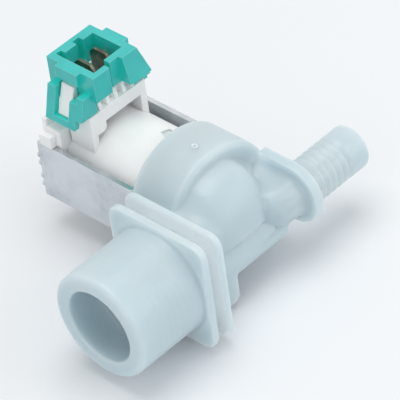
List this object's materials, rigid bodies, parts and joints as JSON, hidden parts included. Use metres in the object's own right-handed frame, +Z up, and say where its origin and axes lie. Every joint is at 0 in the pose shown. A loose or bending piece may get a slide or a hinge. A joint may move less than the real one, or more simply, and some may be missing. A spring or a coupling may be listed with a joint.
{
  "type": "washing machine inlet valve",
  "caption": "Single-coil water inlet valve for a washing machine: threaded inlet with panel flange, diaphragm chamber, barbed hose outlet, coil in a steel yoke and a two-tab plug socket.",
  "frame": {"origin": "middle of the flange's front face, on the inlet axis", "axes": "+X along the water's flow from the inlet to the outlet, +Y along the coil axis away from the chamber, +Z up towards the plug socket"},
  "size_m": [0.078, 0.0634, 0.0446],
  "materials": {
    "body_nylon": "translucent natural moulding",
    "strainer_nylon": "fine matt moulding",
    "regulator_plastic": "matt moulding",
    "black_rubber": "smooth moulded rubber",
    "cover_nylon": "matt moulding",
    "plunger_steel": "turned",
    "spring_steel": "drawn wire",
    "bobbin_nylon": "matt moulding",
    "copper_wire": "enamelled, wound",
    "casing_nylon": "satin moulding",
    "zinc_steel": "zinc plated",
    "tab_brass": "tinned, dull",
    "socket_nylon": "satin moulding"
  },
  "bodies": {
    "valve": {"valve_body": "body_nylon", "inlet_strainer": "strainer_nylon", "regulator_holder": "regulator_plastic", "regulator_washer": "black_rubber", "diaphragm": "black_rubber", "core_tube": "cover_nylon", "plunger_spring": "spring_steel", "bobbin": "bobbin_nylon", "winding": "copper_wire", "coil_casing": "casing_nylon", "bushing_lower": "zinc_steel", "bushing_upper": "zinc_steel", "yoke_bracket": "zinc_steel", "yoke_end_plate": "zinc_steel", "terminal_left": "tab_brass", "terminal_right": "tab_brass", "connector_housing": "socket_nylon"},
    "plunger": {"plunger": "plunger_steel", "plunger_seal": "black_rubber"},
    "pilot_insert": {"diaphragm_insert": "regulator_plastic"}
  },
  "joints": [
    {"name": "plunger_slide", "type": "slide", "parent": "valve", "child": "plunger", "axis": [0, 1, 0], "range_m": [0, 0.0025], "stiffness_N_per_m": 200, "springref_m": -0.003, "deforming": ["plunger_spring"]},
    {"name": "diaphragm_lift", "type": "slide", "parent": "valve", "child": "pilot_insert", "axis": [0, 1, 0], "range_m": [0, 0.0015], "deforming": ["diaphragm"]}
  ],
  "couplings": [
    {"joint": "diaphragm_lift", "follows": "plunger_slide", "ratio": 0.6}
  ]
}
